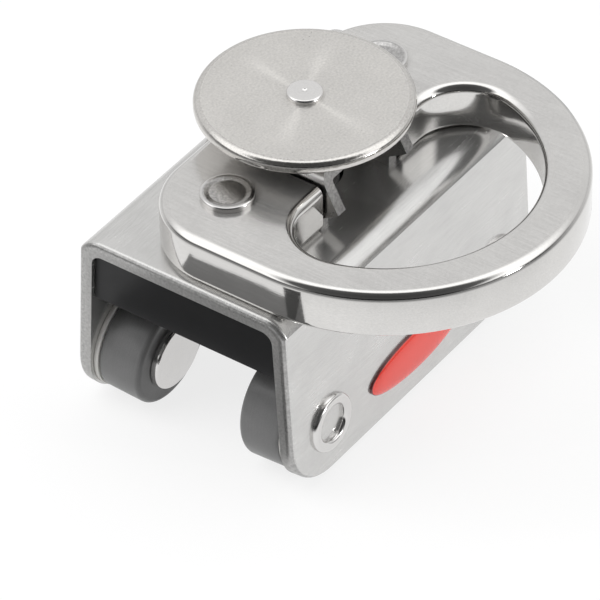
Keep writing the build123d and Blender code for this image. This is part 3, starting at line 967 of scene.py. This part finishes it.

# Badge: a printed red oval under a clear dome of resin, stuck to the near leg. The dome's side wall is
# coloured dark red: painted dark reflection.
badge_height = -14.1
badge_half_length, badge_half_width = 12.7, 3.75
badge_dome = 0.9
badge_around = 120
badge_resin = plastic(
    "badge_resin", (0.87, 0.055, 0.035), roughness=0.06, grain_share=0.02, wear_share=0.10, bump=0.02
)
badge_tree = badge_resin.node_tree
badge_shader = badge_tree.nodes["Principled BSDF"]
badge_shader.inputs["Coat Weight"].default_value = 0.35
badge_shader.inputs["Coat Roughness"].default_value = 0.03
badge_angle = np.linspace(0, 2 * np.pi, badge_around, endpoint=False)
badge_rows = np.array([
    (0.0, 1.0), (0.3, 0.99), (0.55, 0.96), (0.7, 0.90), (0.8, 0.83), (0.88, 0.74),
    (0.94, 0.62), (0.975, 0.5), (1.0, 0.4), (1.0, 0.0),
])
leg_along = np.array((1.0, 0, 0))
leg_out = np.array((0, -np.cos(lean), np.sin(lean)))
leg_up = np.array((0, np.sin(lean), np.cos(lean)))
badge_spread = badge_rows[:, :1, None]
badge_points = (
    np.array((0, -leg_at(badge_height), badge_height))
    + badge_spread * badge_half_length * np.cos(badge_angle)[None, :, None] * leg_along
    + badge_spread * badge_half_width * np.sin(badge_angle)[None, :, None] * leg_up
    + badge_rows[:, 1:, None] * badge_dome * leg_out
)
badge_faces = grid_faces(len(badge_rows), badge_around, closed=True)
badge_faces.append([(len(badge_rows) - 1) * badge_around + i for i in range(badge_around)])
badge_rim = np.repeat((badge_rows[:, 0] > 0.99).astype(float), badge_around)
rim_mark = badge_tree.nodes.new("ShaderNodeAttribute")
rim_mark.attribute_name = "rim"
rim_mix = badge_tree.nodes.new("ShaderNodeMix")
rim_mix.data_type = "RGBA"
red_inside, painted_dark_rim, badge_colour = rim_mix.inputs[6], rim_mix.inputs[7], rim_mix.outputs[2]
# The side wall of the dome gets a dark red: painted dark reflection on the edge of the clear resin.
painted_dark_rim.default_value = (0.16, 0.03, 0.03, 1)
badge_tree.links.new(math_node(badge_tree, "GREATER_THAN", rim_mark.outputs["Fac"], 0.5), rim_mix.inputs[0])
badge_tree.links.new(badge_shader.inputs["Base Color"].links[0].from_socket, red_inside)
badge_tree.links.new(badge_colour, badge_shader.inputs["Base Color"])
solid_piece(
    "oval_badge", badge_points.reshape(-1, 3), badge_faces, "chassis", badge_resin, "badge",
    crease=50.0, marks={"rim": badge_rim},
)

# Plunger spring: round stainless wire wound to one even pitch, its two ends ground flat, on the collar below
# and under the bracket above.
spring_foot = 3.5
spring_head = 21.6
spring_radius = 4.9
spring_turns = 6.5
wire_radius = 0.5
spring_steel = metal(
    "spring_steel", (0.62, 0.62, 0.62), roughness=0.25,
    stretch=(900, 900, 900), lines=0.05, clouds=0.05, pits=0.05, bump=0.2,
)


def coil(rows_per_turn=36, columns=14):
    """A helix of one pitch carries a circle square to it; what stands past either end is ground down flat."""
    rows = int(rows_per_turn * spring_turns) + 1
    turn = np.linspace(0, 2 * np.pi * spring_turns, rows)[:, None]
    climb = (spring_head - spring_foot) / (2 * np.pi * spring_turns)
    flat = 0 * turn
    outward = np.concatenate([np.cos(turn), np.sin(turn), flat], axis=1)
    along = np.concatenate([-spring_radius * np.sin(turn), spring_radius * np.cos(turn), climb + flat], axis=1)
    along /= np.linalg.norm(along, axis=1, keepdims=True)
    upward = np.cross(along, outward)
    middle = spring_radius * outward + np.array((0, 0, 1.0)) * (spring_foot + climb * turn)
    angle = np.linspace(0, 2 * np.pi, columns, endpoint=False)[None, :, None]
    circle = np.cos(angle) * outward[:, None] + np.sin(angle) * upward[:, None]
    points = middle[:, None] + wire_radius * circle
    points[..., 2] = np.clip(points[..., 2], spring_foot, spring_head)
    ends = [list(range(columns)), list(range((rows - 1) * columns, rows * columns))]
    return points.reshape(-1, 3), grid_faces(rows, columns, closed=True) + ends


coil_points, coil_faces = coil()
plunger_coil = solid_piece(
    "plunger_coil", coil_points, coil_faces, "chassis", spring_steel, "plunger_spring",
    crease=40.0,
)
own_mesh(plunger_coil)

# Slide block, bracket, spring collar and clip: their solids already have the right shape, so they only get
# their finish. The block is black acetal, the bracket is cut and folded sheet, and the small parts are bright.
block_plastic = plastic(
    "block_acetal", (0.012, 0.012, 0.013), roughness=0.42, grain_share=0.35, wear_share=0.25, bump=0.2
)
block_plastic.node_tree.nodes["Principled BSDF"].inputs["Specular IOR Level"].default_value = 0.3
bracket_steel = metal(
    "bracket_steel", (0.62, 0.61, 0.60), roughness=0.28,
    stretch=(6000, 300, 6000), lines=0.08, clouds=0.1, pits=0.06, bump=0.25,
)
marked(bracket_steel, None, rougher=0.2, darker=0.42, bumpier=1.8, cut_along=(0, 1, 0))
for node_name, node_material in (
    ("slide_block", block_plastic),
    ("plunger_bracket", bracket_steel),
    ("spring_collar", spring_steel),
    ("collar_clip", spring_steel),
):
    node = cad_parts[node_name]
    node.data.materials.clear()
    node.data.materials.append(node_material)
